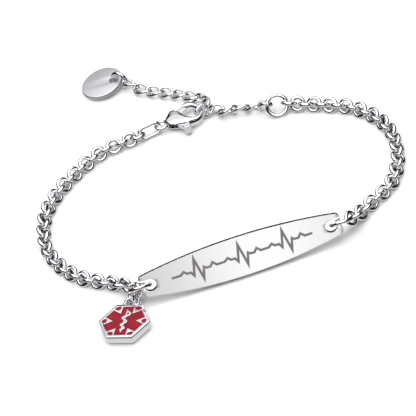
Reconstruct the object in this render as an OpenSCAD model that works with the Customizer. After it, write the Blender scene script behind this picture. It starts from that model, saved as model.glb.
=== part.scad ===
/* [Name plate] */
// Length of the plate along its bend
plate_l = 42; // [36:0.5:50]
// Height of the plate at its middle
plate_h = 8; // [7:0.1:10]
// Height of the plate at its ends
plate_end_h = 4.1; // [3.8:0.1:5.5]
// Thickness of the plate
plate_t = 1.5; // [1.2:0.1:2]
// Radius that the plate is bent to
plate_bend_r = 350; // [150:10:600]
// Lean of the plate back from upright, degrees
plate_lean = 26; // [10:1:40]
// Corner radius of the outline
plate_corner_r = 0.9; // [0.4:0.1:1.4]
// Diameter of the hole at each end
plate_hole_d = 2.5; // [2.2:0.1:3]
// Distance from the hole's centre to the plate's end
plate_hole_edge = 2.1; // [1.9:0.1:3]

/* [Round link chain] */
// Outer diameter of a link
link_d = 3.25; // [3:0.05:3.6]
// Wire diameter of a link as a share of its outer diameter
link_wire_share = 0.215; // [0.16:0.005:0.22]

/* [Jump rings] */
// Outer diameter of the two plate rings
plate_ring_d = 5.2; // [4.8:0.1:6]
// Outer diameter of the ring at the back end of the right chain
end_ring_d = 4.9; // [4.4:0.1:6]
// Wire diameter of the plate rings and the end ring
ring_wire = 0.8; // [0.6:0.05:0.9]
// Width of the saw cut in the end ring
ring_split = 0.12; // [0.08:0.02:0.3]
// Outer diameter of the charm's ring
charm_ring_d = 4.4; // [4.2:0.1:5]
// Wire diameter of the charm's ring
charm_ring_wire = 0.68; // [0.5:0.02:0.8]
// Outer diameter of the end tag's ring
tag_ring_d = 4; // [3.6:0.1:5]
// Wire diameter of the end tag's ring
tag_ring_wire = 0.7; // [0.5:0.05:0.8]
// Outer length of the oval ring on the clasp
clasp_ring_l = 5.3; // [4.6:0.1:7]
// Outer width of the oval ring on the clasp
clasp_ring_w = 3; // [2.6:0.1:4]
// Wire diameter of the oval ring
clasp_ring_wire = 0.74; // [0.5:0.02:0.8]

/* [Extender chain] */
// Outer length of a twisted link
ext_l = 4.35; // [4:0.05:5]
// Outer width of a twisted link
ext_w = 3; // [2.8:0.1:3.4]
// Wire diameter of a twisted link
ext_wire = 0.6; // [0.5:0.02:0.64]
// Twist from one end of a link to the other, degrees
ext_twist = 88; // [80:1:96]

/* [End tag] */
// Diameter of the end tag
tag_d = 8.6; // [7.8:0.1:10]
// Thickness of the end tag
tag_t = 0.8; // [0.6:0.05:1]
// Diameter of the end tag's hole
tag_hole_d = 1.9; // [1.6:0.1:2.4]
// Distance from the hole's centre to the tag's edge
tag_hole_edge = 1.65; // [1.5:0.05:1.9]

/* [Clasp] */
// Thickness of the clasp's body
clasp_t = 2.3; // [2.1:0.1:2.8]
// Outer diameter of the clasp's eye
eye_d = 2.9; // [2.7:0.1:3.4]
// Wire diameter of the clasp's eye
eye_wire = 0.65; // [0.5:0.05:0.75]
// Thickness of the lever's blade
lever_t = 0.9; // [0.7:0.05:1]
// Diameter of the rivet that the lever turns on
rivet_d = 0.9; // [0.7:0.05:1]
// Clearance around the lever and its rivet
lever_gap = 0.1; // [0.08:0.01:0.14]

/* [Charm] */
// Width of the hexagonal charm from corner to corner
charm_w = 10.9; // [9:0.1:13]
// Thickness of the charm
charm_t = 2.3; // [1.8:0.1:3]
// Width of the metal rim around the face
charm_rim = 0.62; // [0.4:0.02:0.8]
// Depth of the enamelled pockets
pocket_depth = 0.5; // [0.3:0.05:0.8]
// Width of one of the star's arms
star_arm = 2.4; // [2.1:0.05:3]
// Length of the lug beyond the charm's flat side
bail_l = 3; // [2.6:0.1:3.6]
// Width of the lug at its foot
bail_w = 3.7; // [3.3:0.1:4.2]
// Diameter of the lug's hole
bail_hole_d = 1.9; // [1.7:0.1:2.2]

/* [Hidden] */

// Clearance between two pieces that hang in each other
gap = 0.12;
steel = "lightsteelblue";
enamel = "crimson";

// The layout is drawn about the wrist's middle and then centred on its box
layout_mid = [0.02, 0.59, 0];

// Places of the pieces that lie on the surface, and their turns in degrees
plate_at = [0, -31.9];
clasp_at = [-7.1, 19.3];
clasp_turn = -2;
clasp_rise = 0.3;
clasp_lift = 0.7;
end_ring_at = [16.3, 13.4];
end_ring_lean = 50;
tag_at = [-15.85, 38.15];
tag_turn = -14;
tag_lift = 8;
charm_turn = -25.7;

// Slope of the plate rings, and how far round its ring the right chain's and the tag's last link hangs
plate_ring_lean = 40;
hang_right = 38;
hang_tag = 24;

// The left chain's last two links, the last of them in the plate ring: centre from the plate ring's,
// then heading, lift and roll; and the link before them: centre from the plate ring's, and roll
left_hung = [
  [[-1.6, 2.95, -1.98], [144, 11.6, 190.2]],
  [[-0.76, 1.64, -1.78], [104.9, -1.8, 111.8]]
];
left_end = [[-2.51, 4.4, -1.91], 80.5];

// Chosen points of the two round link chains: x, y, lift above lying flat, roll of the even links
chain_left_route = [
  [-15.2, 17.8, 0.06, 45], [-18.6, 17.5, 0, 45], [-21.6, 16.3, 0, 45], [-26.2, 13.4, 0, 45],
  [-30.8, 9.3, 0, 45], [-34.3, 4.2, 0, 45], [-36, -2, 0, 45], [-36.1, -7.4, 0, 45],
  [-34.3, -13.5, 0, 45], [-30.9, -18.6, 0, 48], [-26.5, -22.2, 0, 58], [-23.81, -24.50, 0.21, 66]
];
chain_right_route = [
  [21.6, 12, 0, -38], [26.2, 9.5, 0, -45], [30.9, 6.2, 0, -45], [34.6, 1.2, 0, -45],
  [36.5, -4.3, 0, -45], [36.7, -9.2, 0, -45], [35.8, -14.7, 0, -45], [33, -20.3, 0, -45],
  [28, -24.1, 0, -50], [25.5, -26.4, 0.3, -55]
];

// The extender's links from the end ring's to those about the clasp, the sixth of them in the clasp's
// hook: centre, then heading, lift and roll
hooked_links = [
  [[13.92, 14.68, 2.17], [121, -21, 14]],
  [[11.66, 16.01, 1.3], [164, -3, 43]],
  [[9.04, 16.97, 1.28], [160, 2, 39]],
  [[6.47, 17.17, 1.53], [175, 2, 46]],
  [[4.41, 18.49, 1.55], [141, -17, 86]],
  [[2.06, 19.42, 1.59], [8, 2, 54]],
  [[2.74, 21.2, 1.77], [105, -31, 110]],
  [[1.73, 23.52, 1.39], [104, -19, 1]],
  [[0.47, 25.72, 0.98], [141, 4, 5]]
];

// Chosen points of the extender from there to the tag: x, y, lift above lying flat, roll
extender_route = [[-3.1, 28.6, 0.1, 0], [-5.9, 30.6, 0, 0], [-8.1, 32.2, 0, 0]];

// The clasp's bar from its neck round to the hook's tip: outer edge x, y, inner edge x, y,
// and height as a share of its thickness
clasp_sections = [
  [0.9, -0.55, 0.9, 0.55, 0.5], [1.5, -1.25, 1.5, 1.5, 0.8], [2.5, -1.85, 2.35, 2.8, 0.97],
  [3.6, -2.1, 3.6, 2.85, 1], [4.7, -2.2, 4.35, 1.5, 0.98], [5.7, -2.3, 5.2, -0.1, 0.9],
  [6.8, -2.3, 6.6, -1.1, 0.78], [7.9, -1.95, 7.5, -1.05, 0.66], [8.7, -1, 7.9, -0.5, 0.56],
  [8.95, 0.4, 7.95, 0.5, 0.52], [8.5, 2.3, 7.5, 1.8, 0.54], [7.3, 3.7, 6.7, 2.65, 0.56],
  [6, 4, 5.8, 2.85, 0.56], [5, 3.85, 5.1, 2.8, 0.54]
];

// The clasp lever's pivot and the plane where its gate meets the hook's tip
pivot = [2.4, 0.9];
gate_meet = [5.35, 3];
gate_meet_angle = 233;
thumb_at = [5, -3.3];
thumb_d = 1.5;
// The lever's round hub, and how far along the clasp its slot in the body runs
hub_r = 1.15;
slot_to = 5.7;

link_wire = link_d * link_wire_share;
link_rc = (link_d - link_wire) / 2;
link_pitch = link_d - 2 * link_wire - gap;
plate_ring_rc = (plate_ring_d - ring_wire) / 2;
end_ring_rc = (end_ring_d - ring_wire) / 2;
charm_ring_rc = (charm_ring_d - charm_ring_wire) / 2;
tag_ring_rc = (tag_ring_d - tag_ring_wire) / 2;
clasp_ring_a = (clasp_ring_l - clasp_ring_wire) / 2;
clasp_ring_b = (clasp_ring_w - clasp_ring_wire) / 2;
eye_rc = (eye_d - eye_wire) / 2;
ext_a = (ext_l - ext_wire) / 2;
ext_b = (ext_w - ext_wire) / 2;
ext_pitch = ext_l - 2 * ext_wire - gap;

function unit(v) = v / norm(v);
function xyz(p) = [p.x, p.y, p[2]];
function last(list) = list[len(list) - 1];

// Distance from a ring's centre to where another ring's wire passes inside its end
function inside(half, wire, other_wire) = half - (wire + other_wire) / 2 - gap;

// Centre of a link whose end passes through point q and which is pulled towards another point
function pulled(q, half, to) = q + half * unit(to - q);

// Turns a direction by a lift about Y and then a turn about Z
function turned(v, lift, turn) = let (
    x = v.x * cos(lift) - v[2] * sin(lift),
    z = v.x * sin(lift) + v[2] * cos(lift)
  ) [x * cos(turn) - v.y * sin(turn), x * sin(turn) + v.y * cos(turn), z];

// A smooth curve through points, with n steps between each two
function bend(p, q, r, s, t) =
  0.5 * (2 * q + (r - p) * t + (2 * p - 5 * q + 4 * r - s) * t * t + (3 * q - p - 3 * r + s) * t * t * t);
function smooth(pts, n) = [
  for (i = [0 : len(pts) - 2], k = [0 : n - 1])
    bend(pts[max(i - 1, 0)], pts[i], pts[i + 1], pts[min(i + 2, len(pts) - 1)], k / n),
  last(pts)
];

// Length run at each point, and count + 1 places at equal steps along the points
function runs(pts) = [
  for (i = 0, s = 0; i < len(pts); s = s + norm(xyz(pts[min(i + 1, len(pts) - 1)]) - xyz(pts[i])), i = i + 1) s
];
function paced(pts, count) = let (at = runs(pts)) [
  for (i = [0 : count]) [
    for (k = [0 : 3]) lookup(last(at) * i / count, [for (j = [0 : len(pts) - 1]) [at[j], pts[j][k]]])
  ]
];

// A route lifted so that what is threaded on it lies on the surface: round links on edge at their roll,
// and twisted links at one height
function lain(route) = [
  for (p = route)
    [p.x, p.y, p[2] + link_wire / 2 + link_rc * max(abs(sin(p[3])), abs(cos(p[3]))), p[3]]
];
function lain_twisted(route) = [
  for (p = route)
    [p.x, p.y, p[2] + ext_wire / 2 + ext_b * min(1, 0.46 + 0.62 * abs(sin(p[3]))), p[3]]
];

// A route spread about the wrist's middle until count links fit along it
function spread(start, route, end, count, tries) = let (
    length = last(runs(smooth(concat([start], route, [end]), 8))),
    k = count * link_pitch / length
  ) tries == 0 ? route : spread(start, [for (p = route) [p.x * k, p.y * k, p[2], p[3]]], end, count, tries - 1);
function heading(p, i) = xyz(p[min(i + 1, len(p) - 1)]) - xyz(p[max(i - 1, 0)]);

// Roll about a heading that sets a link square to a ring whose plane has the given normal
function square_roll(dir, normal) = let (
    turn = atan2(dir.y, dir.x),
    lift = asin(dir[2] / norm(dir)),
    up = turned([0, 0, 1], lift, turn),
    side = [-sin(turn), cos(turn), 0]
  ) atan2(up * normal, side * normal);
function near(angle, target) = angle - 180 * round((angle - target) / 180);

// A chain's end link, pulled from point q towards the next one and square to the ring that it hangs in;
// way is 1 where the chain starts and -1 where it ends
function hung(q, half, next, normal, turn, way = 1) =
  concat(pulled(q, half, xyz(next)), near(square_roll(way * (xyz(next) - q), normal) + turn, next[3]));

// Puts children with their X axis along a heading, rolled about it
module facing(at, dir, roll) {
  translate(at)
    rotate([roll, -asin(dir[2] / norm(dir)), atan2(dir.y, dir.x)])
      children();
}

// Places that the rings and chains share, all worked out from the pieces that they hang in
plate_z = plate_h / 2;
plate_rise = 0.8 * plate_t * sin(plate_lean);
hole_x = plate_l / 2 - plate_hole_edge;
hole_sag = hole_x * hole_x / (2 * plate_bend_r);
function plate_point(v) = [
  v.x, plate_at.y + v.y * cos(plate_lean) + (v[2] + plate_z) * sin(plate_lean),
  (v[2] + plate_z) * cos(plate_lean) - v.y * sin(plate_lean) + plate_rise
];
hole_left = plate_point([-hole_x, hole_sag, 0]);
hole_right = plate_point([hole_x, hole_sag, 0]);
plate_ring_normal = [0, sin(plate_ring_lean), cos(plate_ring_lean)];
plate_ring_back = [0, cos(plate_ring_lean), -sin(plate_ring_lean)];
plate_ring_left_at = hole_left - [plate_ring_rc, 0, 0];
plate_ring_right_at = hole_right + [plate_ring_rc, 0, 0];
hang_right_dir = [cos(hang_right), 0, 0] + sin(hang_right) * plate_ring_back;
link_in_ring = inside(plate_ring_rc, ring_wire, link_wire);

eye_at = [clasp_at.x, clasp_at.y, clasp_t / 2 + clasp_rise];
function clasp_point(p) = eye_at + turned([p.x, p.y, 0], clasp_lift, clasp_turn);
end_ring_z = end_ring_rc * sin(end_ring_lean) + ring_wire / 2;
end_ring_pos = [end_ring_at.x, end_ring_at.y, end_ring_z];
end_ring_normal = [0, -sin(end_ring_lean), cos(end_ring_lean)];

// The oval ring leaves the eye towards the left chain
left_start = lain(chain_left_route)[0];
clasp_ring_dir = unit([left_start.x, left_start.y, left_start[2]] - eye_at);
clasp_ring_pos = eye_at + clasp_ring_dir * (inside(eye_rc, eye_wire, clasp_ring_wire) + clasp_ring_a);
clasp_ring_roll = -64;
clasp_ring_normal = turned(
  [0, -sin(clasp_ring_roll), cos(clasp_ring_roll)],
  asin(clasp_ring_dir[2]), atan2(clasp_ring_dir.y, clasp_ring_dir.x)
);

// The tag lies with its hole side lifted, and its ring stands through the hole
tag_pos = [tag_at.x, tag_at.y, tag_d / 2 * sin(tag_lift) + tag_t / 2];
tag_hole_x = tag_d / 2 - tag_hole_edge;
tag_hole = tag_pos + turned([tag_hole_x, 0, 0], tag_lift, tag_turn);
tag_ring_turn = -45;
tag_ring_z = tag_ring_rc + tag_ring_wire / 2;
tag_ring_drop = tag_ring_z - tag_hole[2];
tag_ring_dir = turned([1, 0, 0], 0, tag_ring_turn);
tag_ring_pos = [tag_hole.x, tag_hole.y, tag_ring_z]
  + sqrt(tag_ring_rc * tag_ring_rc - tag_ring_drop * tag_ring_drop) * tag_ring_dir;

// The charm lies flat, and its ring leans from the lug's hole up round the left plate ring
charm_flat = charm_w / 2 * cos(30);
bail_hole_y = charm_flat + bail_l - bail_hole_d / 2 - 0.75;
bail_mid_z = charm_t * 0.61;
bail_h = charm_t * 0.5;
charm_ring_roll = 113;
charm_ring_lift = 10.5;
charm_ring_turn = 85;
charm_ring_low = charm_ring_rc * sqrt(1 - pow(cos(charm_ring_lift) * cos(charm_ring_roll), 2));
charm_ring_at = [plate_ring_left_at.x - 1.91, plate_ring_left_at.y + 0.7];
charm_ring_pos = concat(charm_ring_at, charm_ring_low + charm_ring_wire / 2);
bail_hole_at = [plate_ring_left_at.x - 2.36, plate_ring_left_at.y - 0.83];
charm_at = bail_hole_at + bail_hole_y * [sin(charm_turn), -cos(charm_turn)];

// Links at equal steps along a chain's points, each second one turned square to the last
module link_chain(start, route, end) {
  length = last(runs(smooth(concat([start], route, [end]), 8)));
  count = 2 * round(length / link_pitch / 2);
  p = paced(smooth(concat([start], spread(start, route, end, count, 8), [end]), 8), count);
  for (i = [0 : count])
    facing(xyz(p[i]), heading(p, i), p[i][3] + 90 * (i % 2))
      wire_ring(link_rc, link_wire);
}

module wire_ring(rc, wire) {
  rotate_extrude($fn = 48)
    translate([rc, 0])
      circle(d = wire, $fn = 20);
}

// A stretched ring: two half rings joined by straight wires
module oval_ring(a, b, wire) {
  straight = a - b;
  for (side = [-1, 1]) {
    translate([side * straight, 0, 0])
      rotate([0, 0, 90 - side * 90 - 90])
        rotate_extrude(angle = 180, $fn = 48)
          translate([b, 0])
            circle(d = wire, $fn = 20);
    translate([-straight, side * b, 0])
      rotate([0, 90, 0])
        cylinder(d = wire, h = 2 * straight, $fn = 20);
  }
}

// A closed solid through rings of points that all have the same count
module loft(rings, closed = false) {
  n = len(rings[0]);
  m = len(rings);
  last_ring = closed ? m - 1 : m - 2;
  sides = [
    for (i = [0 : last_ring], k = [0 : n - 1]) let (j = (i + 1) % m, l = (k + 1) % n)
      [i * n + k, i * n + l, j * n + l, j * n + k]
  ];
  caps = closed ? [] : [[for (k = [n - 1 : -1 : 0]) k], [for (k = [0 : n - 1]) (m - 1) * n + k]];
  polyhedron(points = [for (r = rings) each r], faces = concat(sides, caps), convexity = 6);
}

// One point of a twisted link's centre line, at angle t round it
function twist_point(t) = let (x = ext_a * cos(t), y = ext_b * sin(t), roll = -ext_twist / 2 * x / ext_a)
  [x, y * cos(roll), y * sin(roll)];

module twisted_link() {
  steps = 16;
  sides = 6;
  loft([
    for (i = [0 : steps - 1]) let (
        t = 360 * i / steps,
        p = twist_point(t),
        ahead = unit(twist_point(t + 5) - twist_point(t - 5)),
        out = unit(p - ahead * (p * ahead)),
        up = cross(ahead, out)
      ) [for (k = [0 : sides - 1]) p + ext_wire / 2 * (cos(360 * k / sides) * out - sin(360 * k / sides) * up)]
  ], closed = true);
}

// Twisted links at equal steps along the points, without the first ones
module twisted_chain(points, skip_first) {
  fine = smooth(points, 8);
  count = ceil(last(runs(fine)) / ext_pitch);
  p = paced(fine, count);
  for (i = [skip_first : count])
    facing(xyz(p[i]), heading(p, i), p[i][3])
      twisted_link();
}

// Outline of the plate: two long arcs, two short ends and four rounded corners
function plate_outline() = let (
    half = plate_l / 2,
    sag = (plate_h - plate_end_h) / 2,
    arc_r = (half * half + sag * sag) / (2 * sag),
    low = arc_r - plate_h / 2,
    cx = half - plate_corner_r,
    cy = sqrt(pow(arc_r - plate_corner_r, 2) - cx * cx) - low,
    tilt = atan2(cy + low, cx),
    quarter = concat(
      [for (k = [0 : 6]) let (a = tilt * k / 6) [cx + plate_corner_r * cos(a), cy + plate_corner_r * sin(a)]],
      [for (k = [1 : 12]) let (a = tilt + (90 - tilt) * k / 12) [arc_r * cos(a), arc_r * sin(a) - low]]
    ),
    n = len(quarter)
  ) concat(
    quarter,
    [for (k = [n - 2 : -1 : 0]) [-quarter[k].x, quarter[k].y]],
    [for (k = [0 : n - 1]) -quarter[k]],
    [for (k = [n - 2 : -1 : 0]) [quarter[k].x, -quarter[k].y]]
  );

module id_plate() {
  color(steel)
    multmatrix([
      [1, 0, 0, 0],
      [0, cos(plate_lean), sin(plate_lean), plate_point([0, 0, 0]).y],
      [0, -sin(plate_lean), cos(plate_lean), plate_point([0, 0, 0])[2]],
      [0, 0, 0, 1]
    ])
      difference() {
        intersection() {
          rotate([90, 0, 0])
            linear_extrude(height = 12, center = true)
              polygon(plate_outline());
          translate([0, plate_bend_r, -plate_h])
            difference() {
              cylinder(r = plate_bend_r + plate_t / 2, h = 2 * plate_h, $fn = 720);
              translate([0, 0, -1])
                cylinder(r = plate_bend_r - plate_t / 2, h = 2 * plate_h + 2, $fn = 720);
            }
        }
        for (side = [-1, 1])
          translate([side * hole_x, hole_sag, 0])
            rotate([90, 0, side * asin(hole_x / plate_bend_r)])
              cylinder(d = plate_hole_d, h = 4 * plate_t, center = true, $fn = 48);
      }
}

module plate_ring(at) {
  color(steel)
    translate(at)
      rotate([-plate_ring_lean, 0, 0])
        wire_ring(plate_ring_rc, ring_wire);
}

module plate_ring_left() {
  plate_ring(plate_ring_left_at);
}

module plate_ring_right() {
  plate_ring(plate_ring_right_at);
}

module chain_left() {
  route = lain(chain_left_route);
  start = hung(clasp_ring_pos + clasp_ring_dir * inside(clasp_ring_a, clasp_ring_wire, link_wire), link_rc,
    route[0], clasp_ring_normal, 0);
  end = concat(plate_ring_left_at + left_end[0], left_end[1]);
  color(steel) {
    link_chain(start, route, end);
    for (link = left_hung)
      translate(plate_ring_left_at + link[0])
        rotate([link[1][2], -link[1].y, link[1].x])
          wire_ring(link_rc, link_wire);
  }
}

module chain_right() {
  route = lain(chain_right_route);
  start = hung(end_ring_pos + [inside(end_ring_rc, ring_wire, link_wire), 0, 0], link_rc,
    route[0], end_ring_normal, 0);
  end = hung(plate_ring_right_at + hang_right_dir * link_in_ring, link_rc,
    last(route), plate_ring_normal, 0, -1);
  color(steel)
    link_chain(start, route, end);
}

module clasp_ring() {
  color(steel)
    facing(clasp_ring_pos, clasp_ring_dir, clasp_ring_roll)
      oval_ring(clasp_ring_a, clasp_ring_b, clasp_ring_wire);
}

module clasp_place() {
  translate(eye_at)
    rotate([0, -clasp_lift, clasp_turn])
      children();
}

// The clasp's bar as one loft: a full body that narrows into the spine, the nose and the hook
module clasp_bar() {
  corners = 12;
  loft([
    for (p = smooth(clasp_sections, 3)) let (
        mid = [p[0] + p[2], p[1] + p[3]] / 2,
        half_w = [p[0] - p[2], p[1] - p[3]] / 2,
        half_h = p[4] * clasp_t / 2
      ) [
        for (k = [0 : corners - 1]) let (
            a = 360 * k / corners,
            w = sign(cos(a)) * pow(abs(cos(a)), 0.75),
            h = sign(sin(a)) * pow(abs(sin(a)), 0.75)
          ) [mid.x + half_w.x * w, mid.y + half_w.y * w, half_h * h]
      ]
  ]);
}

module clasp_body() {
  slot_h = lever_t + 2 * lever_gap;
  slot_from = pivot.x - hub_r - 2 * lever_gap;
  neck = clasp_sections[0];
  color(steel)
    clasp_place() {
      difference() {
        clasp_bar();
        translate([slot_from, -clasp_t * 2, -slot_h / 2])
          cube([slot_to - slot_from, clasp_t * 3.2, slot_h]);
        translate([gate_meet.x, gate_meet.y, 0])
          rotate([0, 0, gate_meet_angle])
            translate([0, -1.2, -clasp_t])
              cube([2, 2, 2 * clasp_t]);
      }
      translate([pivot.x, pivot.y, 0])
        cylinder(d = rivet_d, h = clasp_t * 0.8, center = true, $fn = 32);
      difference() {
        wire_ring(eye_rc, eye_wire);
        translate([neck[0] + 0.2, -eye_d, -clasp_t])
          cube([eye_d, 2 * eye_d, 2 * clasp_t]);
      }
    }
}

// The lever's blade: a round hub, the gate arm up to the hook's tip and the thumb arm
module lever_outline() {
  meet = gate_meet + (lever_gap + 0.04) * [cos(gate_meet_angle), sin(gate_meet_angle)];
  along = [-sin(gate_meet_angle), cos(gate_meet_angle)];
  translate(pivot)
    circle(r = hub_r, $fn = 36);
  polygon([
    pivot + [-0.6, 0.95], pivot + [1.1, 1.65], meet + along * -0.45, meet + along * 0.75,
    pivot + [1.6, 0.1], pivot + [0.5, -0.95]
  ]);
  polygon([
    pivot + [-0.6, -0.9], pivot + [1.1, 0.2], pivot + [2.6, -2.1],
    thumb_at + [0.5, 0.3], thumb_at + [-0.6, 0]
  ]);
}

module clasp_lever() {
  color(steel)
    clasp_place()
      difference() {
        union() {
          translate([0, 0, -lever_t / 2])
            linear_extrude(height = lever_t)
              lever_outline();
          translate([thumb_at.x, thumb_at.y, 0])
            cylinder(d = thumb_d, h = 2 * lever_t, center = true, $fn = 36);
        }
        translate([pivot.x, pivot.y, 0])
          cylinder(d = rivet_d + 2 * lever_gap, h = 2 * clasp_t, center = true, $fn = 32);
      }
}

module extender_chain() {
  route = lain_twisted(extender_route);
  tag_q = tag_ring_pos
    + inside(tag_ring_rc, tag_ring_wire, ext_wire) * turned([1, 0, 0], -hang_tag, tag_ring_turn);
  end = concat(pulled(tag_q, ext_a, xyz(last(route))), 38);
  color(steel) {
    for (link = hooked_links)
      translate(link[0])
        rotate([link[1][2], -link[1].y, link[1].x])
          twisted_link();
    twisted_chain(concat([concat(last(hooked_links)[0], 20)], route, [end]), 1);
  }
}

module end_ring() {
  color(steel)
    translate(end_ring_pos)
      rotate([end_ring_lean, 0, 0])
        difference() {
          wire_ring(end_ring_rc, ring_wire);
          rotate([0, 0, -108])
            translate([end_ring_rc, 0, 0])
              cube([2 * ring_wire, ring_split, 2 * ring_wire], center = true);
        }
}

module tag_ring() {
  color(steel)
    facing(tag_ring_pos, tag_ring_dir, 90)
      wire_ring(tag_ring_rc, tag_ring_wire);
}

module end_tag() {
  color("silver")
    translate(tag_pos)
      rotate([0, -tag_lift, tag_turn])
        difference() {
          cylinder(d = tag_d, h = tag_t, center = true, $fn = 96);
          translate([tag_hole_x, 0, 0])
            cylinder(d = tag_hole_d, h = 3 * tag_t, center = true, $fn = 48);
        }
}

// A hexagon with flats at the top and bottom and slightly rounded corners, as a ring of points at a height
function hexagon_ring(across, round_r, z) = let (reach = across / 2 - round_r / cos(30)) [
  for (k = [0 : 5], j = [-1 : 1])
    [
      reach * cos(60 * k) + round_r * cos(60 * k + 30 * j),
      reach * sin(60 * k) + round_r * sin(60 * k + 30 * j), z
    ]
];

// The star's three crossing bars, grown by a margin
module star(grow) {
  for (k = [0 : 2])
    rotate([0, 0, 60 * k])
      square([star_arm + 2 * grow, 2 * (charm_flat - charm_rim + grow)], center = true);
}

// One corner oval, grown by a margin: two round ends and the straight between them
module corner_ovals(grow) {
  corner_x = charm_w / 2 - charm_rim / cos(30) - 0.56;
  for (k = [0 : 5])
    rotate([0, 0, 60 * k])
      for (y = [-0.16, 0.16])
        translate([corner_x, y])
          circle(r = 0.46 + grow, $fn = 24);
}

// A line of points with its corners cut, and the same line moved sideways
function cut_corners(p) = concat(
  [p[0]], [for (i = [0 : len(p) - 2]) each [0.75 * p[i] + 0.25 * p[i + 1], 0.25 * p[i] + 0.75 * p[i + 1]]], [last(p)]
);
function beside(p, by) = [
  for (i = [0 : len(p) - 1]) let (
      before = unit(p[max(i, 1)] - p[max(i, 1) - 1]),
      after = unit(p[min(i, len(p) - 2) + 1] - p[min(i, len(p) - 2)]),
      out = [-before.y - after.y, before.x + after.x]
    ) p[i] + out * by * 2 / (out * out)
];

// The raised figure: a straight staff and a snake that winds up it from side to side
module raised_figure(grow) {
  turns = [[-0.35, -2.7], [0.75, -2.05], [-0.85, -1.2], [1, -0.2], [-1.1, 0.8], [1.15, 1.85], [0.1, 2.7]];
  snake = cut_corners(cut_corners(turns));
  polygon(concat(beside(snake, 0.2 + grow), [
    for (i = [len(snake) - 1 : -1 : 0]) beside(snake, -0.2 - grow)[i]
  ]));
  translate([-0.17 - grow, -3.25 - grow])
    square([0.34 + 2 * grow, 6.4 + 2 * grow]);
}

module charm_place() {
  translate([charm_at.x, charm_at.y, 0])
    rotate([0, 0, charm_turn])
      children();
}

module charm_body() {
  floor_z = charm_t - pocket_depth;
  color(steel)
    charm_place() {
      difference() {
        loft([
          hexagon_ring(charm_w - 0.3, 0.5, charm_t), hexagon_ring(charm_w, 0.6, 0.93 * charm_t),
          hexagon_ring(charm_w - 0.1, 0.6, 0.5 * charm_t), hexagon_ring(charm_w - 0.7, 0.6, 0.22 * charm_t),
          hexagon_ring(charm_w - 1.7, 0.5, 0)
        ]);
        translate([0, 0, floor_z])
          linear_extrude(height = charm_t) {
            star(0);
            corner_ovals(0);
          }
      }
      translate([0, 0, floor_z - 0.15])
        linear_extrude(height = pocket_depth + 0.2)
          raised_figure(0);
      translate([0, 0, bail_mid_z - bail_h / 2])
        linear_extrude(height = bail_h)
          difference() {
            union() {
              translate([0, bail_hole_y])
                circle(r = bail_hole_d / 2 + 0.75, $fn = 48);
              polygon([
                [-bail_w / 2, charm_flat - 0.6], [bail_w / 2, charm_flat - 0.6],
                [bail_hole_d / 2 + 0.72, bail_hole_y], [-bail_hole_d / 2 - 0.72, bail_hole_y]
              ]);
            }
            translate([0, bail_hole_y])
              circle(d = bail_hole_d, $fn = 48);
          }
    }
}

module charm_enamel() {
  fit = 0.03;
  sink = 0.06;
  color(enamel)
    charm_place()
      translate([0, 0, charm_t - pocket_depth + fit])
        linear_extrude(height = pocket_depth - fit - sink)
          difference() {
            union() {
              star(-fit);
              corner_ovals(-fit);
            }
            raised_figure(fit);
          }
}

module charm_ring() {
  color(steel)
    translate(charm_ring_pos)
      rotate([charm_ring_roll, -charm_ring_lift, charm_ring_turn])
        wire_ring(charm_ring_rc, charm_ring_wire);
}

translate(-layout_mid) {
  id_plate();
  plate_ring_left();
  plate_ring_right();
  chain_left();
  chain_right();
  clasp_ring();
  clasp_body();
  clasp_lever();
  extender_chain();
  end_ring();
  tag_ring();
  end_tag();
  charm_body();
  charm_enamel();
  charm_ring();
}
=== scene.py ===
"""A medical alert bracelet of polished steel with an enamelled charm, lying fastened on a white floor."""
import math

import bmesh
import bpy
import numpy as np
from mathutils import Matrix, Vector


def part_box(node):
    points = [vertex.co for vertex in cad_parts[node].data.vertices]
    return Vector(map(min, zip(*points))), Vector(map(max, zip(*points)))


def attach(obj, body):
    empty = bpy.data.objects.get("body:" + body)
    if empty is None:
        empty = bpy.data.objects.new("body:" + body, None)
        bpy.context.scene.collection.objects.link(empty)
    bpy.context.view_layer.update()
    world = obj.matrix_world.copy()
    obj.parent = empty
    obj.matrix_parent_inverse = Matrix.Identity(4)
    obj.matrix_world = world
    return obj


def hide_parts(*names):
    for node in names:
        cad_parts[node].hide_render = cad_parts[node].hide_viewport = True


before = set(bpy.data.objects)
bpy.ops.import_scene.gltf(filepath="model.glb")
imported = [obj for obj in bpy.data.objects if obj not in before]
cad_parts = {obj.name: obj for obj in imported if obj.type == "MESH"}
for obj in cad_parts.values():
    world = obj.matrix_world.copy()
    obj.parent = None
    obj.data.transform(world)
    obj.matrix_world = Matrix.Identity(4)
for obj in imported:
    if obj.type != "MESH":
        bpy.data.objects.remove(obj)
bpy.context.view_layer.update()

MM = 0.001
BODY = "bracelet"

# Sizes of the pieces that are made again here, in millimetres and degrees

# Chains and rings
LINK_D = 3.38
LINK_WIRE = 0.8
RING_WIRE = 0.8
PLATE_RING_D = 5.2
END_RING_D = 4.9
CHARM_RING_D = 4.4
CHARM_RING_WIRE = 0.68
TAG_RING_D = 4.0
TAG_RING_WIRE = 0.7
CLASP_RING_L = 5.3
CLASP_RING_W = 3.0
CLASP_RING_WIRE = 0.74
EXT_L = 4.35
EXT_W = 3.0
EXT_WIRE = 0.6
EXT_TWIST = 88
SAW_CUT = 0.09

# Name plate
PLATE_L = 42
PLATE_H = 8
PLATE_END_H = 4.1
PLATE_T = 1.5
PLATE_BEND_R = 350
PLATE_LEAN = 26
PLATE_CORNER_R = 0.9
PLATE_HOLE_D = 2.5
PLATE_HOLE_EDGE = 2.1
PLATE_FILLET = 0.05

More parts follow.
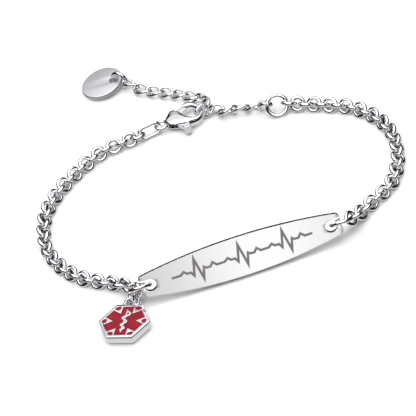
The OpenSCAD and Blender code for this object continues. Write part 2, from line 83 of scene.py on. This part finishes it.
# The pulse line: one beat, where the beats' middles are along the plate, and the line's two ends
BEAT = [(-3.4, 0), (-2.7, 0.55), (-2.1, 0), (-1.3, 0), (-0.8, -0.8), (0, 2.5),
        (0.9, -1.9), (1.5, 0.35), (2.0, 0), (2.8, 0), (3.4, 0.7), (4.1, 0)]
BEAT_MIDDLES = (-9.2, 0, 9.2)
PULSE_START = -14.5
PULSE_END = 14.9
PULSE_W = 0.5
PULSE_T = 0.06
PULSE_FILLET = 0.015

# End tag
TAG_D = 8.6
TAG_T = 0.8
TAG_HOLE_D = 1.9
TAG_HOLE_EDGE = 1.65
TAG_FILLET = 0.16
TAG_LIFT = 8
TAG_TURN = -14

# Charm
CHARM_W = 10.9
CHARM_T = 2.3
CHARM_RIM = 0.62
CHARM_CORNER_R = 0.6
CHARM_FLAT = CHARM_W / 2 * math.cos(math.radians(30))
CHARM_TURN = -25.7
POCKET = 0.5

# Its body from the back up: how much narrower than the charm, at which height
CHARM_PROFILE = [
    (2.1, 0),
    (1.5, 0.06),
    (0.85, 0.3),
    (0.35, 0.75),
    (0.08, 1.3),
    (0, 1.8),
    (0, CHARM_T - 0.16),
    (0.09, CHARM_T - 0.05),
    (0.3, CHARM_T),
    (0.62, CHARM_T),
    (0.7, CHARM_T - POCKET),
]

# The charm's face: the metal round the pockets, the star and the ovals in its corners
FACE_INSET = 0.4
FACE_CORNER_R = 0.55
FACE_FILLET = 0.05
STAR_ARM = 2.4
OVAL_R = 0.46
OVAL_STRAIGHT = 0.32
OVAL_INSET = 0.56

# The figure on the star: how far each part stands above the face, and its lines from the charm's middle
SNAKE_LINE = [(-0.35, -2.7), (0.75, -2.05), (-0.85, -1.2), (1, -0.2), (-1.1, 0.8), (1.15, 1.85), (0.1, 2.7)]
SNAKE_W = 0.44
SNAKE_RAISED = 0.1
SNAKE_FILLET = 0.09
STAFF_LOW = -3.25
STAFF_HIGH = 3.15
STAFF_W = 0.34
STAFF_RAISED = 0.06
STAFF_FILLET = 0.07

# The charm's lug
LUG_L = 3
LUG_W = 3.7
LUG_HOLE_D = 1.9
LUG_RIM = 0.75
LUG_SUNK = 0.6
LUG_T = CHARM_T * 0.5
LUG_MIDDLE = CHARM_T * 0.61
LUG_FILLET = 0.3

# Clasp: the size of the cells that round its two pieces, and how far and how often they are smoothed
CLASP_CELL = 0.07
LEVER_CELL = 0.06
SMOOTHING = 0.5
SMOOTHING_ROUNDS = 8

# Camera: the photograph's angle, the width of its frame where the bracelet lies, in millimetres, and
# the middle of the frame from the plate's foot
CAMERA_DOWN = 40
CAMERA_ROLL = 18
FRAME_W = 83.2
FRAME_MIDDLE = (-3.3, 23.8, 0)
LENS = 1500
SENSOR_W = 36
SIGHT_METRES = 20
FLOOR_HALF = 4000

# The room that the metal mirrors, as (direction from -1 to 1, grey), over the height or the width
CARD_UP = [(-0.2, 0.03), (-0.05, 0.15), (0.08, 0.85), (0.2, 1.08), (0.33, 0.9), (0.45, 0.06)]
CARD_ACROSS = [(-0.6, 0.03), (-0.3, 0.25), (-0.11, 0.66), (-0.06, 0.8), (0.01, 1.0), (0.05, 1.0),
               (0.12, 0.84), (0.3, 0.35), (0.6, 0.03)]
DARK_UP = [(-0.4, 0.02), (0.0, 0.008), (0.5, 0.03)]
TABLE_UP = [(-1, 0.85), (-0.5, 0.8)]
SKY_UP = [(0.45, 0.95), (0.9, 1.05)]

# Between which directions one part of the room gives way to the next, along Y or up Z
CARD_TO_DARK = (-0.5, 0.1)
ROOM_TO_TABLE = (-0.45, -0.68)
ROOM_TO_SKY = (0.6, 0.82)
PANEL_FROM_Y = (0.5, 0.66)
PANEL_FROM_Z = (0.42, 0.56)

# Sockets of Blender's Mix node for colours
MIX_A = 6
MIX_B = 7
MIX_RESULT = 2


# Meshes

def rotation(turn=0, lift=0, roll=0):
    """A turn about Z after a lift of the X axis after a roll about X, in degrees."""
    turn, lift, roll = (math.radians(v) for v in (turn, lift, roll))
    return Matrix.Rotation(turn, 3, "Z") @ Matrix.Rotation(-lift, 3, "Y") @ Matrix.Rotation(roll, 3, "X")


def box(name):
    """The low and the high corner of a node's box, in millimetres."""
    return (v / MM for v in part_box(name))


def new_object(name, bm, smooth=40):
    """Makes an object of a bmesh in millimetres, shaded smooth up to an angle in degrees."""
    bmesh.ops.scale(bm, vec=(MM, MM, MM), verts=bm.verts)
    mesh = bpy.data.meshes.new(name)
    bm.normal_update()
    bm.to_mesh(mesh)
    bm.free()
    obj = bpy.data.objects.new(name, mesh)
    bpy.context.scene.collection.objects.link(obj)
    mesh.polygons.foreach_set("use_smooth", [True] * len(mesh.polygons))
    mesh.set_sharp_from_angle(angle=math.radians(smooth))
    return obj


def sweep(bm, points, radius, sides=14, closed=True):
    """Adds a round wire along points, with flat ends where it isn't closed."""
    count = len(points)
    middle = sum(points, Vector()) / count
    rings = []
    for i, p in enumerate(points):
        if closed:
            ahead = points[(i + 1) % count] - points[i - 1]
        else:
            ahead = points[min(i + 1, count - 1)] - points[max(i - 1, 0)]
        ahead.normalize()
        out = p - middle
        out = (out - ahead * out.dot(ahead)).normalized()
        up = ahead.cross(out)
        angles = [2 * math.pi * k / sides for k in range(sides)]
        rings.append([bm.verts.new(p + radius * (math.cos(a) * out + math.sin(a) * up)) for a in angles])
    for i in range(count if closed else count - 1):
        ring, after = rings[i], rings[(i + 1) % count]
        for k in range(sides):
            m = (k + 1) % sides
            bm.faces.new((ring[k], ring[m], after[m], after[k]))
    if not closed:
        bm.faces.new(rings[0][::-1])
        bm.faces.new(rings[-1])


def ring_points(centre, turn, rc, steps=48, cut=0, cut_at=0):
    """Points round a circle, or round all of it but a cut of the given width."""
    if not cut:
        angles = [2 * math.pi * i / steps for i in range(steps)]
    else:
        half = cut / rc / 2
        start = math.radians(cut_at) + half
        angles = [start + (2 * math.pi - 2 * half) * i / steps for i in range(steps + 1)]
    return [centre + turn @ Vector((rc * math.cos(a), rc * math.sin(a), 0)) for a in angles]


def oval_points(centre, turn, a, b, steps=16):
    """Points round a stretched ring with straight sides."""
    straight = a - b
    points = []
    for side in (-1, 1):
        for i in range(steps + 1):
            angle = math.pi / 2 + math.pi * i / steps
            x, y = -straight + b * math.cos(angle), b * math.sin(angle)
            points.append(Vector((x, y, 0)) if side < 0 else Vector((-x, -y, 0)))
    return [centre + turn @ p for p in points]


def twisted_points(centre, turn, a, b, twist, steps=44):
    """Points round a curb link, whose two ends are twisted against each other."""
    points = []
    for i in range(steps):
        t = 2 * math.pi * i / steps
        x, y = a * math.cos(t), b * math.sin(t)
        roll = math.radians(-twist / 2 * x / a)
        points.append(centre + turn @ Vector((x, y * math.cos(roll), y * math.sin(roll))))
    return points


def loose_parts(name):
    """Each loose solid of a node as its triangles' middles and areas, in millimetres."""
    bm = bmesh.new()
    bm.from_mesh(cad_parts[name].data)
    bmesh.ops.remove_doubles(bm, verts=bm.verts, dist=1e-7)
    bmesh.ops.triangulate(bm, faces=bm.faces)
    parts, seen = [], set()
    for first in bm.faces:
        if first in seen:
            continue
        seen.add(first)
        island, queue = [], [first]
        while queue:
            face = queue.pop()
            island.append(face)
            for edge in face.edges:
                for other in edge.link_faces:
                    if other not in seen:
                        seen.add(other)
                        queue.append(other)
        middles = np.array([f.calc_center_median() for f in island]) / MM
        areas = np.array([f.calc_area() for f in island])
        parts.append((middles, areas))
    bm.free()
    return parts


def places(name):
    """Where each loose solid of a node is: its centre and its axes, the longest first."""
    found = []
    for middles, areas in loose_parts(name):
        centre = np.average(middles, axis=0, weights=areas)
        spread = np.cov((middles - centre).T, aweights=areas)
        axes = np.linalg.eigh(spread)[1][:, ::-1]
        if np.linalg.det(axes) < 0:
            axes[:, 2] *= -1
        found.append((Vector(centre), Matrix(axes.tolist())))
    return found


# Materials

def material(name, colour, metallic=0.0, roughness=0.5):
    """A plain material of one colour."""
    mat = bpy.data.materials.new(name)
    mat.use_nodes = True
    shader = mat.node_tree.nodes["Principled BSDF"]
    shader.inputs["Base Color"].default_value = (*colour, 1)
    shader.inputs["Metallic"].default_value = metallic
    shader.inputs["Roughness"].default_value = roughness
    mat.diffuse_color = (*colour, 1)
    return mat


def node(mat, kind, values=None, **settings):
    """Adds a shader node with its settings and its inputs' values."""
    made = mat.node_tree.nodes.new(kind)
    for key, value in settings.items():
        setattr(made, key, value)
    for key, value in (values or {}).items():
        made.inputs[key].default_value = value
    return made


def link(mat, a, out, b, into):
    mat.node_tree.links.new(a.outputs[out], b.inputs[into])


def noise(mat, scale, detail=3, stretch=(1, 1, 1)):
    """Noise in the object's own coordinates, in features a metre, stretched along its axes."""
    coords = node(mat, "ShaderNodeTexCoord")
    mapping = node(mat, "ShaderNodeMapping", {"Scale": stretch})
    made = node(mat, "ShaderNodeTexNoise", {"Scale": scale, "Detail": detail})
    link(mat, coords, "Object", mapping, "Vector")
    link(mat, mapping, "Vector", made, "Vector")
    return made


def ranged(mat, source, low, high, into):
    """Maps a noise's value to a range on one of the shader's inputs."""
    limits = {"From Min": 0.3, "From Max": 0.7, "To Min": low, "To Max": high}
    spread = node(mat, "ShaderNodeMapRange", limits)
    link(mat, source, "Fac", spread, "Value")
    link(mat, spread, "Result", mat.node_tree.nodes["Principled BSDF"], into)


def tinted(mat, source, dark, light):
    """Varies the base colour between two near tones."""
    tones = node(mat, "ShaderNodeValToRGB")
    for element, position, colour in zip(tones.color_ramp.elements, (0.35, 0.65), (dark, light)):
        element.position = position
        element.color = (*colour, 1)
    link(mat, source, "Fac", tones, "Fac")
    link(mat, tones, "Color", mat.node_tree.nodes["Principled BSDF"], "Base Color")


def bumped(mat, source, distance):
    """Gives the surface fine relief from a noise, as high as the distance in metres."""
    bump = node(mat, "ShaderNodeBump", {"Strength": 1.0, "Distance": distance})
    link(mat, source, "Fac", bump, "Height")
    link(mat, bump, "Normal", mat.node_tree.nodes["Principled BSDF"], "Normal")


def toned(colour, share):
    """A colour made lighter or darker."""
    return tuple(v * share for v in colour)


def polished_steel(name, colour, low, high, waviness, haze_tone=0.03):
    """Mirror-polished steel: faint handling haze in its gloss and a slight waviness from polishing."""
    mat = material(name, colour, metallic=1.0, roughness=low)
    haze = noise(mat, scale=900, detail=4)
    ranged(mat, haze, low, high, "Roughness")
    tinted(mat, haze, toned(colour, 1 - haze_tone), colour)
    bumped(mat, noise(mat, scale=260, detail=2), waviness)
    return mat


def satin_steel(name, colour):
    """Finely brushed steel with its grain along one axis."""
    mat = material(name, colour, metallic=1.0, roughness=0.45)
    grain = noise(mat, scale=900, detail=6, stretch=(0.06, 6, 1))
    ranged(mat, grain, 0.4, 0.5, "Roughness")
    tinted(mat, noise(mat, scale=500), toned(colour, 0.96), colour)
    bumped(mat, grain, 0.000002)
    return mat


def enamel(name, colour):
    """Deep glossy enamel, a little uneven in tone."""
    mat = material(name, colour, roughness=0.22)
    shader = mat.node_tree.nodes["Principled BSDF"]
    shader.inputs["Coat Weight"].default_value = 0.15
    shader.inputs["Specular IOR Level"].default_value = 0.15
    shader.inputs["Coat Roughness"].default_value = 0.04
    cloud = noise(mat, scale=600, detail=4)
    tinted(mat, cloud, toned(colour, 0.78), toned(colour, 1.15))
    bumped(mat, noise(mat, scale=450, detail=2), 0.00002)
    return mat


STEEL = polished_steel("polished_steel", (0.8, 0.795, 0.82), low=0.03, high=0.08, waviness=0.000004)
PLATE_STEEL = polished_steel(
    "plate_steel", (0.96, 0.95, 0.965), low=0.08, high=0.09, waviness=0.0000002, haze_tone=0.006
)
TAG_STEEL = satin_steel("tag_steel", (0.72, 0.705, 0.74))
ENAMEL = enamel("red_enamel", (0.26, 0.002, 0.013))
ETCHED = material("etched_grey", (0.27, 0.25, 0.245), metallic=0.4, roughness=0.6)
bumped(ETCHED, noise(ETCHED, scale=9000), 0.00001)


def dress(obj, mat, slot, *replaced, body=BODY):
    """Gives a piece its material and its body, and hides the nodes that it stands for; the slot is not
    used.
    """
    obj.data.materials.clear()
    obj.data.materials.append(mat)
    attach(obj, body)
    if replaced:
        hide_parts(*replaced)
    return obj


# Chains and rings

def round_chain(name):
    rc = (LINK_D - LINK_WIRE) / 2
    bm = bmesh.new()
    for centre, axes in places(name):
        sweep(bm, ring_points(centre, axes, rc, steps=40), LINK_WIRE / 2)
    return dress(new_object(name + "_links", bm, smooth=60), STEEL, "polished_steel", name)


def curb_chain(name):
    a = (EXT_L - EXT_WIRE) / 2
    b = (EXT_W - EXT_WIRE) / 2
    bm = bmesh.new()
    for centre, axes in places(name):
        sweep(bm, twisted_points(centre, axes, a, b, EXT_TWIST), EXT_WIRE / 2)
    return dress(new_object(name + "_links", bm, smooth=60), STEEL, "polished_steel", name)


def jump_ring(name, outer, wire, towards):
    """A round ring with a fine saw cut on the side that faces the given direction."""
    centre, axes = places(name)[0]
    flat = axes.transposed() @ Vector(towards)
    cut_at = math.degrees(math.atan2(flat.y, flat.x))
    points = ring_points(centre, axes, (outer - wire) / 2, steps=72, cut=SAW_CUT, cut_at=cut_at)
    bm = bmesh.new()
    sweep(bm, points, wire / 2, sides=18, closed=False)
    return dress(new_object(name + "_wire", bm, smooth=60), STEEL, "polished_steel", name)


def oval_jump_ring(name):
    centre, axes = places(name)[0]
    a = (CLASP_RING_L - CLASP_RING_WIRE) / 2
    b = (CLASP_RING_W - CLASP_RING_WIRE) / 2
    bm = bmesh.new()
    sweep(bm, oval_points(centre, axes, a, b), CLASP_RING_WIRE / 2, sides=16)
    return dress(new_object(name + "_wire", bm, smooth=60), STEEL, "polished_steel", name)


# Flat pieces with rounded edges

def arc(centre, r, start, end, steps):
    """Points on an arc between two angles in degrees."""
    angles = [math.radians(start + (end - start) * i / steps) for i in range(steps + 1)]
    return [(centre[0] + r * math.cos(a), centre[1] + r * math.sin(a)) for a in angles]


def circle(centre, r, steps=48):
    return arc(centre, r, 0, 360, steps)[:-1]


def slab(outlines, thickness, fillet, steps=3):
    """A flat solid of the outlines, the later ones as holes, with rounded edges, about its mid plane."""
    curve = bpy.data.curves.new("outline", "CURVE")
    curve.dimensions = "2D"
    curve.fill_mode = "BOTH"
    curve.extrude = thickness / 2 - fillet
    curve.bevel_depth = fillet
    curve.bevel_resolution = steps
    curve.offset = -fillet
    for outline in outlines:
        spline = curve.splines.new("POLY")
        spline.points.add(len(outline) - 1)
        for point, (x, y) in zip(spline.points, outline):
            point.co = (x, y, 0, 1)
        spline.use_cyclic_u = True
    maker = bpy.data.objects.new("outline", curve)
    bpy.context.scene.collection.objects.link(maker)
    bpy.context.view_layer.update()
    mesh = bpy.data.meshes.new_from_object(maker.evaluated_get(bpy.context.evaluated_depsgraph_get()))
    bm = bmesh.new()
    bm.from_mesh(mesh)
    bpy.data.objects.remove(maker)
    bpy.data.curves.remove(curve)
    bpy.data.meshes.remove(mesh)
    bmesh.ops.remove_doubles(bm, verts=bm.verts, dist=1e-4)
    return bm


def joined(*parts):
    """One bmesh of several."""
    whole = bmesh.new()
    for part in parts:
        mesh = bpy.data.meshes.new("part")
        part.to_mesh(mesh)
        part.free()
        whole.from_mesh(mesh)
        bpy.data.meshes.remove(mesh)
    return whole


def moved(bm, offset, turn=Matrix.Identity(3)):
    """Turns a bmesh and then moves it."""
    for v in bm.verts:
        v.co = turn @ v.co + Vector(offset)
    return bm


def plate_outline():
    half = PLATE_L / 2
    sag = (PLATE_H - PLATE_END_H) / 2
    arc_r = (half * half + sag * sag) / (2 * sag)
    low = arc_r - PLATE_H / 2
    cx = half - PLATE_CORNER_R
    cy = math.sqrt((arc_r - PLATE_CORNER_R) ** 2 - cx * cx) - low
    tilt = math.degrees(math.atan2(cy + low, cx))
    quarter = arc((cx, cy), PLATE_CORNER_R, 0, tilt, steps=8)
    quarter += arc((0, -low), arc_r, tilt, 90, steps=40)[1:]
    upper = quarter + [(-x, y) for x, y in quarter[-2::-1]]
    return upper + [(-x, -y) for x, y in upper]


plate_low, plate_high = box("id_plate")
lean_sin = math.sin(math.radians(PLATE_LEAN))
lean_cos = math.cos(math.radians(PLATE_LEAN))
plate_foot = Vector((
    (plate_low.x + plate_high.x) / 2,
    plate_low.y + PLATE_T / 2 * lean_cos,
    plate_high.z - PLATE_H * lean_cos - PLATE_T / 2 * lean_sin,
))


def on_plate(x, h, depth):
    """A point of the plate: along it, up it from its middle, and back from its mid surface."""
    back = PLATE_BEND_R - math.sqrt(PLATE_BEND_R ** 2 - x * x) + depth
    up = h + PLATE_H / 2
    return plate_foot + Vector((x, back * lean_cos + up * lean_sin, up * lean_cos - back * lean_sin))


def sliced(bm, step, half):
    """Cuts a flat mesh across X at equal steps, so that it can bend."""
    for i in range(1, int(2 * half / step)):
        geom = bm.verts[:] + bm.edges[:] + bm.faces[:]
        place = (i * step - half, 0, 0)
        bmesh.ops.bisect_plane(bm, geom=geom, plane_co=place, plane_no=(1, 0, 0), dist=1e-5)
    return bm


def id_plate():
    hole_x = PLATE_L / 2 - PLATE_HOLE_EDGE
    holes = [circle((side * hole_x, 0), PLATE_HOLE_D / 2) for side in (-1, 1)]
    flat = slab([plate_outline()] + holes, PLATE_T, PLATE_FILLET)
    bm = sliced(flat, step=1, half=PLATE_L / 2)
    for v in bm.verts:
        v.co = on_plate(v.co.x, v.co.y, -v.co.z)
    return dress(new_object("plate", bm, smooth=25), PLATE_STEEL, "plate_steel", "id_plate")


def band(line, width):
    """The outline of a line of the given width with mitred corners."""
    line = [Vector(p) for p in line]
    sides = ([], [])
    for i, p in enumerate(line):
        before = (line[max(i, 1)] - line[max(i, 1) - 1]).normalized()
        after = (line[min(i, len(line) - 2) + 1] - line[min(i, len(line) - 2)]).normalized()
        out = Vector((-before.y - after.y, before.x + after.x))
        out *= width / out.length_squared
        sides[0].append(tuple(p + out))
        sides[1].append(tuple(p - out))
    return sides[0] + sides[1][::-1]


def pulse_line():
    """A plain pulse line, etched across the plate's face."""
    line = [(PULSE_START, 0)]
    for middle in BEAT_MIDDLES:
        line += [(middle + x, y) for x, y in BEAT]
    line.append((PULSE_END, 0))
    flat = slab([band(line, PULSE_W)], PULSE_T, PULSE_FILLET, steps=1)
    bm = sliced(flat, step=0.5, half=15)
    for v in bm.verts:
        v.co = on_plate(v.co.x, v.co.y, -PLATE_T / 2 - v.co.z)
    return dress(new_object("pulse_line", bm, smooth=30), ETCHED, "plate_steel")


def end_tag():
    hole_x = TAG_D / 2 - TAG_HOLE_EDGE
    outlines = [circle((0, 0), TAG_D / 2, steps=96), circle((hole_x, 0), TAG_HOLE_D / 2)]
    low, high = box("end_tag")
    bm = moved(slab(outlines, TAG_T, TAG_FILLET), (low + high) / 2, rotation(TAG_TURN, TAG_LIFT))
    return dress(new_object("tag", bm, smooth=25), TAG_STEEL, "tag_steel", "end_tag")


# Charm

def hexagon(across, r, steps=4):
    """A hexagon with rounded corners, a corner on the X axis."""
    reach = across / 2 - r / math.cos(math.radians(30))
    points = []
    for k in range(6):
        a = math.radians(60 * k)
        points += arc((reach * math.cos(a), reach * math.sin(a)), r, 60 * k - 30, 60 * k + 30, steps)
    return points


def star_outline():
    """Six square-ended arms about the middle."""
    reach, half = CHARM_FLAT - CHARM_RIM, STAR_ARM / 2
    notch = half / math.sin(math.radians(30))
    points = []
    for k in range(6):
        turn = Matrix.Rotation(math.radians(60 * k), 2)
        inner = Matrix.Rotation(math.radians(60 * k + 30), 2)
        points += [tuple(turn @ Vector((reach, -half))), tuple(turn @ Vector((reach, half)))]
        points.append(tuple(inner @ Vector((notch, 0))))
    turn = Matrix.Rotation(math.radians(30), 2)
    return [tuple(turn @ Vector(p)) for p in points]


def corner_ovals():
    """The sunk ovals in the hexagon's corners, across each corner."""
    x = CHARM_W / 2 - CHARM_RIM / math.cos(math.radians(30)) - OVAL_INSET
    half = OVAL_STRAIGHT / 2
    outlines = []
    for k in range(6):
        turn = Matrix.Rotation(math.radians(60 * k), 2)
        oval = arc((x, half), OVAL_R, 0, 180, steps=12) + arc((x, -half), OVAL_R, 180, 360, steps=12)
        outlines.append([tuple(turn @ Vector(p)) for p in oval])
    return outlines


def rounded_line(line, rounds=2):
    """A line of points with its corners cut at a quarter of each side, a few times over."""
    near, far = 0.75, 0.25
    for _ in range(rounds):
        cut = [line[0]]
        for (ax, ay), (bx, by) in zip(line, line[1:]):
            cut.append((near * ax + far * bx, near * ay + far * by))
            cut.append((far * ax + near * bx, far * ay + near * by))
        line = cut + [line[-1]]
    return line


def charm_base():
    """The hexagonal body below the pockets, with a rounded back edge and a rolled rim."""
    bm = bmesh.new()
    loops = []
    for narrower, z in CHARM_PROFILE:
        outline = hexagon(CHARM_W - narrower, CHARM_CORNER_R)
        loops.append([bm.verts.new((x, y, z)) for x, y in outline])
    for low, high in zip(loops, loops[1:]):
        for k in range(len(low)):
            m = (k + 1) % len(low)
            bm.faces.new((low[k], low[m], high[m], high[k]))
    bm.faces.new(loops[0][::-1])
    bm.faces.new(loops[-1])
    return bm


def charm_face():
    """The face's raised metal: all of it but the star and the ovals in its corners."""
    outlines = [hexagon(CHARM_W - FACE_INSET, FACE_CORNER_R), star_outline()] + corner_ovals()
    return moved(slab(outlines, POCKET, FACE_FILLET, steps=2), (0, 0, CHARM_T - POCKET / 2))


def charm_figure():
    """The staff and the snake that winds up it, cast on the star."""
    half = STAFF_W / 2
    snake = band(rounded_line(SNAKE_LINE), SNAKE_W)
    staff = [(-half, STAFF_LOW), (half, STAFF_LOW), (half, STAFF_HIGH), (-half, STAFF_HIGH)]
    pieces = []
    for outline, raised, fillet in (
        (snake, SNAKE_RAISED, SNAKE_FILLET),
        (staff, STAFF_RAISED, STAFF_FILLET),
    ):
        middle = CHARM_T - POCKET / 2 + raised / 2
        pieces.append(moved(slab([outline], POCKET + raised, fillet), (0, 0, middle)))
    return joined(*pieces)


def charm_lug():
    """The lug with the hole that the charm hangs by."""
    eye_r = LUG_HOLE_D / 2 + LUG_RIM
    eye_y = CHARM_FLAT + LUG_L - eye_r
    foot = CHARM_FLAT - LUG_SUNK
    eye = arc((0, eye_y), eye_r, -8, 188, steps=28)
    outline = [(LUG_W / 2, foot)] + eye + [(-LUG_W / 2, foot)]
    bm = slab([outline, circle((0, eye_y), LUG_HOLE_D / 2, steps=32)], LUG_T, LUG_FILLET, steps=4)
    return moved(bm, (0, 0, LUG_MIDDLE))


def charm():
    low, high = box("charm_enamel")
    middle = (low + high) / 2
    bm = joined(charm_base(), charm_face(), charm_figure(), charm_lug())
    moved(bm, (middle.x, middle.y, 0), rotation(CHARM_TURN))
    return dress(new_object("charm", bm, smooth=35), STEEL, "polished_steel", "charm_body")


# Clasp

def softened(name, piece, voxel, body):
    """A copy of a node's mesh with its edges and facets rounded, as a cast and tumbled piece has them."""
    bm = bmesh.new()
    bm.from_mesh(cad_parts[name].data)
    bmesh.ops.remove_doubles(bm, verts=bm.verts, dist=1e-7)
    bmesh.ops.scale(bm, vec=(1 / MM, 1 / MM, 1 / MM), verts=bm.verts)
    mesh = bpy.data.meshes.new(piece)
    bm.to_mesh(mesh)
    bm.free()
    maker = bpy.data.objects.new(piece, mesh)
    bpy.context.scene.collection.objects.link(maker)
    remesh = maker.modifiers.new("remesh", "REMESH")
    remesh.mode = "VOXEL"
    remesh.voxel_size = voxel
    round_off = maker.modifiers.new("round_off", "SMOOTH")
    round_off.factor = SMOOTHING
    round_off.iterations = SMOOTHING_ROUNDS
    bpy.context.view_layer.update()
    smooth = bpy.data.meshes.new_from_object(maker.evaluated_get(bpy.context.evaluated_depsgraph_get()))
    bm = bmesh.new()
    bm.from_mesh(smooth)
    bpy.data.objects.remove(maker)
    bpy.data.meshes.remove(mesh)
    bpy.data.meshes.remove(smooth)
    return dress(new_object(piece, bm, smooth=180), STEEL, "polished_steel", name, body=body)


def wear(name, mat):
    """Gives a node that is shown as it is its material."""
    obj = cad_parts[name]
    obj.data.materials.clear()
    obj.data.materials.append(mat)


# Stage

def floor():
    bm = bmesh.new()
    bmesh.ops.create_grid(bm, x_segments=1, y_segments=1, size=FLOOR_HALF)
    obj = new_object("floor", bm)
    obj.data.materials.append(material("floor_white", (0.93, 0.93, 0.935), roughness=0.7))
    obj.visible_glossy = False


def camera():
    """A long lens that looks down at the plate, which rises to the right, as in the photograph."""
    down, roll = math.radians(CAMERA_DOWN), math.radians(CAMERA_ROLL)
    data = bpy.data.cameras.new("camera")
    data.sensor_width = SENSOR_W
    data.lens = LENS
    data.clip_end = SIGHT_METRES
    obj = bpy.data.objects.new("camera", data)
    bpy.context.scene.collection.objects.link(obj)
    back = Vector((0, -math.cos(down), math.sin(down)))
    level = Vector((0, math.sin(down), math.cos(down)))
    right = Vector((math.cos(roll), 0, 0)) - level * math.sin(roll)
    up = Vector((math.sin(roll), 0, 0)) + level * math.cos(roll)
    target = (Vector((plate_foot.x, plate_foot.y, 0)) + Vector(FRAME_MIDDLE)) * MM
    place = target + back * (FRAME_W * MM * LENS / SENSOR_W)
    obj.matrix_world = Matrix.Translation(place) @ Matrix((right, up, back)).transposed().to_4x4()
    bpy.context.scene.camera = obj


def ramp(world, source, stops):
    """A ramp of greys over one part of the direction, which runs from -1 to 1."""
    made = node(world, "ShaderNodeValToRGB")
    while len(made.color_ramp.elements) < len(stops):
        made.color_ramp.elements.new(0.5)
    for element, (at, grey) in zip(made.color_ramp.elements, stops):
        element.position = (at + 1) / 2
        element.color = (grey, grey, grey, 1)
    link(world, source, "Result", made, "Fac")
    return made


def mixed(world, factor, a, b, blend="MIX"):
    """Mixes two colours by a factor, which is a node or a number."""
    mix = node(world, "ShaderNodeMix", data_type="RGBA", blend_type=blend)
    if isinstance(factor, float):
        mix.inputs["Factor"].default_value = factor
    else:
        link(world, factor, "Result", mix, "Factor")
    for source, into in ((a, MIX_A), (b, MIX_B)):
        out = MIX_RESULT if source.type == "MIX" else "Color"
        link(world, source, out, mix, into)
    return mix


def along(world, direction, axis, start, end, easing="SMOOTHSTEP"):
    """How far the direction has come from one value to another along an axis, from 0 to 1."""
    limits = {"From Min": start, "From Max": end}
    made = node(world, "ShaderNodeMapRange", limits, interpolation_type=easing)
    link(world, direction, axis, made, "Value")
    return made


def studio():
    """A white table, a softbox above and a panel high at the back, a pale card in front and a dark room."""
    world = bpy.data.worlds.new("studio")
    bpy.context.scene.world = world
    world.use_nodes = True
    coords = node(world, "ShaderNodeTexCoord")
    direction = node(world, "ShaderNodeSeparateXYZ")
    link(world, coords, "Generated", direction, "Vector")

    up = along(world, direction, "Z", -1, 1, "LINEAR")
    across = along(world, direction, "X", -1, 1, "LINEAR")
    sky = ramp(world, up, SKY_UP)
    table = ramp(world, up, TABLE_UP)
    card = mixed(world, 1.0, ramp(world, up, CARD_UP), ramp(world, across, CARD_ACROSS), "MULTIPLY")

    whole = mixed(world, along(world, direction, "Y", *CARD_TO_DARK), card, ramp(world, up, DARK_UP))
    whole = mixed(world, along(world, direction, "Z", *ROOM_TO_TABLE), whole, table)
    whole = mixed(world, along(world, direction, "Z", *ROOM_TO_SKY), whole, sky)
    panel = mixed(world, along(world, direction, "Z", *PANEL_FROM_Z), whole, sky)
    whole = mixed(world, along(world, direction, "Y", *PANEL_FROM_Y), whole, panel)
    link(world, whole, MIX_RESULT, world.node_tree.nodes["Background"], "Color")


def softbox(name, place, size, radiance):
    """A square area light that faces the bracelet, with its place and size in metres."""
    data = bpy.data.lights.new(name, "AREA")
    data.size = size
    data.energy = radiance * math.pi * size * size
    obj = bpy.data.objects.new(name, data)
    obj.location = place
    obj.rotation_euler = Vector(place).to_track_quat("Z", "Y").to_euler()
    bpy.context.scene.collection.objects.link(obj)


camera()
floor()
studio()
softbox("overhead", place=(0.0, -0.05, 0.8), size=1.3, radiance=1.6)
softbox("key", place=(-0.5, -0.35, 0.75), size=0.2, radiance=3.0)
bpy.context.scene.view_settings.view_transform = "Standard"

for chain in ("chain_left", "chain_right"):
    round_chain(chain)
curb_chain("extender_chain")
jump_ring("plate_ring_left", PLATE_RING_D, RING_WIRE, towards=(-0.5, 0, -1))
jump_ring("plate_ring_right", PLATE_RING_D, RING_WIRE, towards=(0.5, 0, -1))
jump_ring("end_ring", END_RING_D, RING_WIRE, towards=(-0.3, -1, -0.5))
jump_ring("charm_ring", CHARM_RING_D, CHARM_RING_WIRE, towards=(0, 0, -1))
jump_ring("tag_ring", TAG_RING_D, TAG_RING_WIRE, towards=(0, 0, -1))
oval_jump_ring("clasp_ring")
id_plate()
pulse_line()
end_tag()
charm()
wear("charm_enamel", ENAMEL)
softened("clasp_body", "clasp", CLASP_CELL, BODY)
softened("clasp_lever", "lever", LEVER_CELL, "lever")
